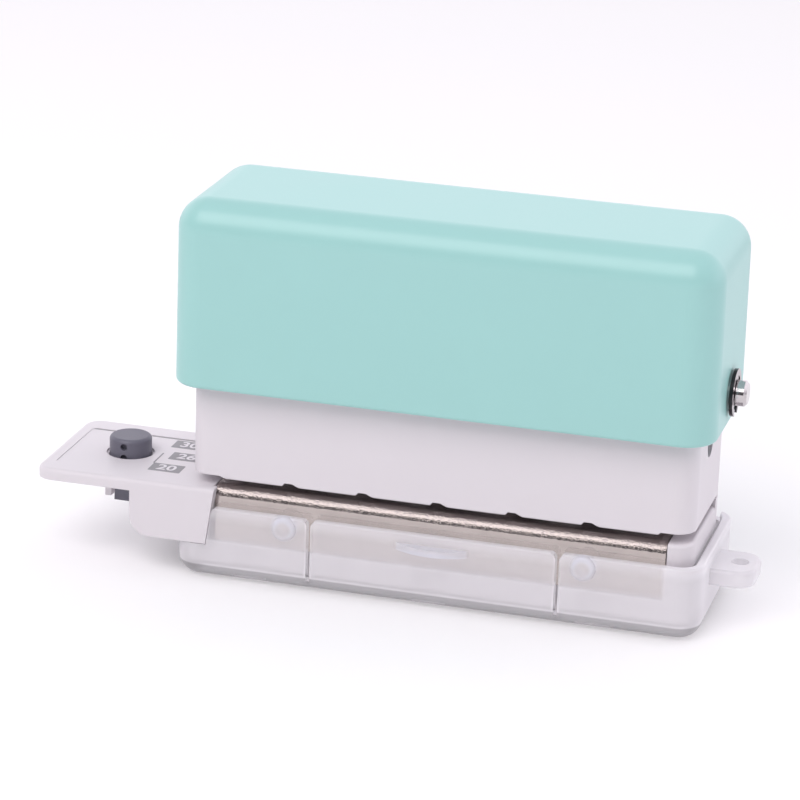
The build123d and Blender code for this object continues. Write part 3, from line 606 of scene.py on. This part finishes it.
def print_number(name, text, place):
    """A plain number in ink on a tag."""
    start_clean()
    height = surface_below("base_frame", *place) + INK_THICKNESS
    bpy.ops.object.text_add(location=(*place, height))
    number = bpy.context.object
    number.data.body = text
    number.data.size = NUMBER_SIZE
    number.data.align_x = "CENTER"
    number.data.align_y = "CENTER"
    number.data.extrude = INK_THICKNESS / 2
    number.data.offset = NUMBER_WEIGHT
    bpy.ops.object.convert(target="MESH")
    number = bpy.context.object
    number.location.z += INK_THICKNESS / 2
    settle(number, name)
    dress(number, finishes["number_ink"])
    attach(number, "base")


for text, left, y in TAGS:
    tag_middle = (left + TAG_SIZE[0] / 2, y)
    print_patch("scale_tag_" + text, TAG_SIZE, tag_middle)
    print_number("scale_number_" + text, text, tag_middle)
print_patch("scale_leader", LEADER_SIZE, LEADER_PLACE)
# painted shadow along the rear edge of the guide plate's field
print_patch("painted_shadow_line", SHADOW_LINE_SIZE, SHADOW_LINE_PLACE)


# Stage floor

STAGE_SIZE = 4.0
STAGE_COLOUR = (0.93, 0.93, 0.93, 1.0)
STAGE_ROUGHNESS = 0.7
STAGE_GLOW_COLOUR = (1.0, 1.0, 1.0, 1.0)
STAGE_GLOW = 0.06


def make_floor():
    """A plain pale floor."""
    start_clean()
    bpy.ops.mesh.primitive_plane_add(size=STAGE_SIZE, location=(0, 0, 0))
    floor = bpy.context.object
    floor.name = "floor"
    material, _, shader = new_material("pale_floor")
    shader.inputs["Base Color"].default_value = STAGE_COLOUR
    shader.inputs["Roughness"].default_value = STAGE_ROUGHNESS
    shader.inputs["Emission Color"].default_value = STAGE_GLOW_COLOUR
    shader.inputs["Emission Strength"].default_value = STAGE_GLOW
    dress(floor, material)


# Room and lights

# How bright the room is in front, behind, above, and how much brighter at the right
ROOM_FRONT = 0.15
ROOM_REAR = 1.4
ROOM_TOP = 0.46
ROOM_RIGHT = 0.3
# Where the room changes from front to rear, from level to above, and towards the right
ROOM_TURN = (-0.35, 0.3)
ROOM_RISE = (0.25, 0.9)
ROOM_SIDE = (0.2, 0.8)
ROOM_COLOUR = (1.0, 0.965, 1.03, 1.0)
LIGHT_TARGET = Vector((0, 0, 0.02))


def make_room():
    """A room that is white behind the table, brighter at the right and dim in front."""
    room = bpy.data.worlds.new("white_room")
    bpy.context.scene.world = room
    room.use_nodes = True
    tree = room.node_tree
    to_right, to_rear, upwards = along_axes(tree, "Generated")
    around = ramp(tree, to_rear, ROOM_TURN, (ROOM_FRONT, ROOM_REAR))
    above = fade_in(tree, upwards, ROOM_RISE)
    level = total(tree, product(tree, around, less(tree, 1.0, above)), product(tree, above, ROOM_TOP))
    level = total(tree, level, ramp(tree, to_right, ROOM_SIDE, (0.0, ROOM_RIGHT)))
    background = tree.nodes["Background"]
    background.inputs["Color"].default_value = ROOM_COLOUR
    tree.links.new(level, background.inputs["Strength"])


def make_light(name, place, size, power, colour):
    """A large soft box that points at the part."""
    light = bpy.data.lights.new(name, "AREA")
    light.shape = "RECTANGLE"
    light.size, light.size_y = size
    light.energy = power
    light.color = colour
    lamp = bpy.data.objects.new(name, light)
    bpy.context.scene.collection.objects.link(lamp)
    lamp.location = place
    lamp.rotation_euler = (LIGHT_TARGET - Vector(place)).to_track_quat("-Z", "Y").to_euler()


# Camera: its turn is in degrees, its lens and its sensor are in millimetres

CAMERA_PLACE = (0.09917, -0.39248, 0.16174)
CAMERA_TURN = (71.178, -1.845, 15.814)
CAMERA_LENS = 155.62
CAMERA_SENSOR = 36.0
CAMERA_CLIP = (0.01, 10.0)


def make_camera():
    """A long lens that looks down on the part from the front right."""
    lens = bpy.data.cameras.new("camera")
    lens.sensor_width = CAMERA_SENSOR
    lens.lens = CAMERA_LENS
    lens.clip_start, lens.clip_end = CAMERA_CLIP
    camera = bpy.data.objects.new("camera", lens)
    bpy.context.scene.collection.objects.link(camera)
    camera.location = CAMERA_PLACE
    camera.rotation_euler = [math.radians(angle) for angle in CAMERA_TURN]
    bpy.context.scene.camera = camera


make_floor()
make_room()
make_light("front_box", place=(-0.24, -0.66, 0.80), size=(1.0, 0.7), power=7.4, colour=(1.0, 0.965, 0.985))
make_light("top_box", place=(0.1, 0.15, 0.8), size=(0.8, 0.8), power=0.8, colour=(1.0, 0.97, 1.02))
make_camera()
bpy.context.scene.view_settings.view_transform = "Standard"
